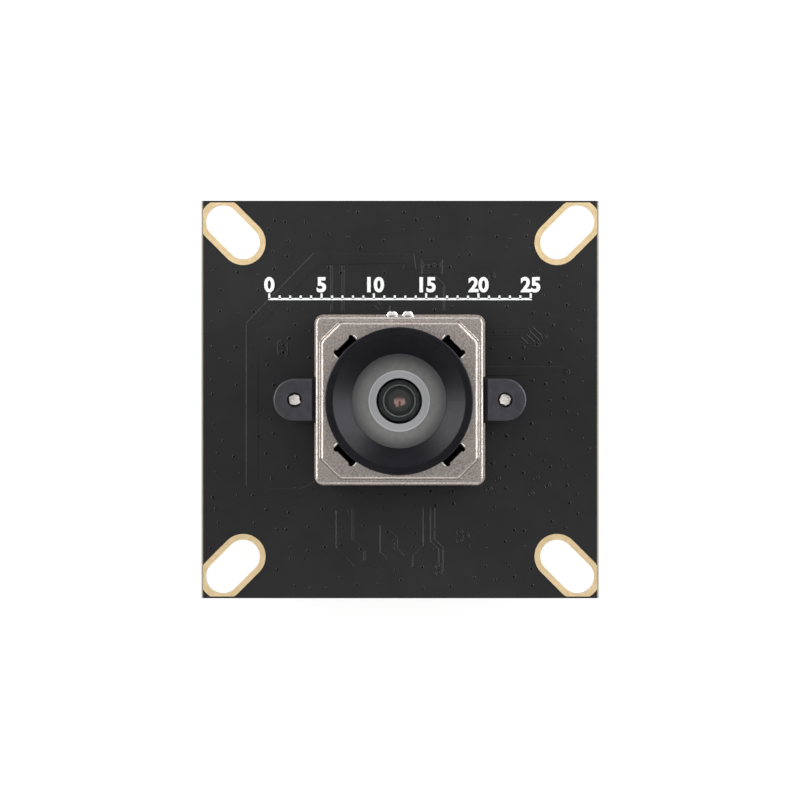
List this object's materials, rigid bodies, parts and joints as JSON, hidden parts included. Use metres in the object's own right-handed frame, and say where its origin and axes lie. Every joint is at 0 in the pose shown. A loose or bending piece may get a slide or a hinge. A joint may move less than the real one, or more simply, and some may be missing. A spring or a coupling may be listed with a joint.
{
  "type": "autofocus usb camera module",
  "caption": "Square circuit board carrying an autofocus lens in a metal voice-coil can, with diagonal corner slots, screw ears and a USB socket underneath.",
  "frame": {"origin": "centre of the circuit board on its underside, midway between the four corner slots", "axes": "+Z along the optical axis towards the subject, +X to the right and +Y up in the picture the camera faces, with the USB socket under the edge at -Y"},
  "size_m": [0.038, 0.038, 0.0169],
  "materials": {
    "solder_mask": "matte black solder mask on glass-epoxy board",
    "gold_plate": "pale immersion gold on copper",
    "chip_epoxy": "moulded chip epoxy",
    "clear_glass": "polished optical glass",
    "coated_glass": "polished optical glass with an anti-reflection coating",
    "filter_glass": "coated infrared-cut glass",
    "holder_plastic": "satin moulded dark slate plastic",
    "motor_plastic": "moulded black liquid-crystal polymer",
    "nickel_sheet": "drawn nickel-plated steel sheet",
    "magnet_nickel": "nickel-plated sintered magnet",
    "spring_bronze": "etched copper alloy leaf",
    "tinned_lead": "matte tin plate",
    "solder": "bright lead-free solder",
    "screw_steel": "nickel-plated steel screws",
    "coil_copper": "enamelled copper wire",
    "barrel_black": "satin black moulded lens barrel",
    "retainer_grey": "turned ring with a fine matte dark finish",
    "stop_foil": "matte black light-stop foil",
    "crystal_metal": "nickel lid",
    "inductor_ferrite": "moulded ferrite",
    "capacitor_ceramic": "fired ceramic",
    "resistor_black": "black glaze",
    "socket_nylon": "natural moulded nylon",
    "contact_plate": "plated phosphor bronze"
  },
  "bodies": {
    "camera_base": {"circuit_board": "solder_mask", "slot_plating": "gold_plate", "image_sensor": "chip_epoxy", "sensor_cover_glass": "clear_glass", "lens_holder": "holder_plastic", "ir_filter": "filter_glass", "motor_base": "motor_plastic", "motor_can": "nickel_sheet", "motor_magnets": "magnet_nickel", "lower_leaf_spring": "spring_bronze", "upper_leaf_spring": "spring_bronze", "upper_spring_frame": "motor_plastic", "motor_terminals": "tinned_lead", "solder_joints": "solder", "holder_screws": "screw_steel", "video_processor": "chip_epoxy", "flash_memory": "chip_epoxy", "flash_leads": "tinned_lead", "motor_driver": "chip_epoxy", "voltage_regulators": "chip_epoxy", "regulator_leads": "tinned_lead", "crystal_can": "crystal_metal", "power_inductor": "inductor_ferrite", "capacitor_bodies": "capacitor_ceramic", "resistor_bodies": "resistor_black", "chip_ends": "tinned_lead", "socket_housing": "socket_nylon", "socket_contacts": "contact_plate", "socket_anchors": "tinned_lead"},
    "lens_unit": {"lens_carrier": "motor_plastic", "focus_coil": "coil_copper", "lens_barrel": "barrel_black", "front_retainer": "retainer_grey", "front_element": "coated_glass", "aperture_stop": "stop_foil", "second_element": "clear_glass", "third_element": "clear_glass", "rear_spacer": "barrel_black", "rear_element": "clear_glass", "rear_retainer": "barrel_black"}
  },
  "joints": [
    {"name": "focus_travel", "type": "slide", "parent": "camera_base", "child": "lens_unit", "axis": [0, 0, 1], "range_m": [0, 0.0004], "stiffness_N_per_m": 40, "springref_m": -0.0006, "deforming": ["lower_leaf_spring", "upper_leaf_spring"]}
  ]
}
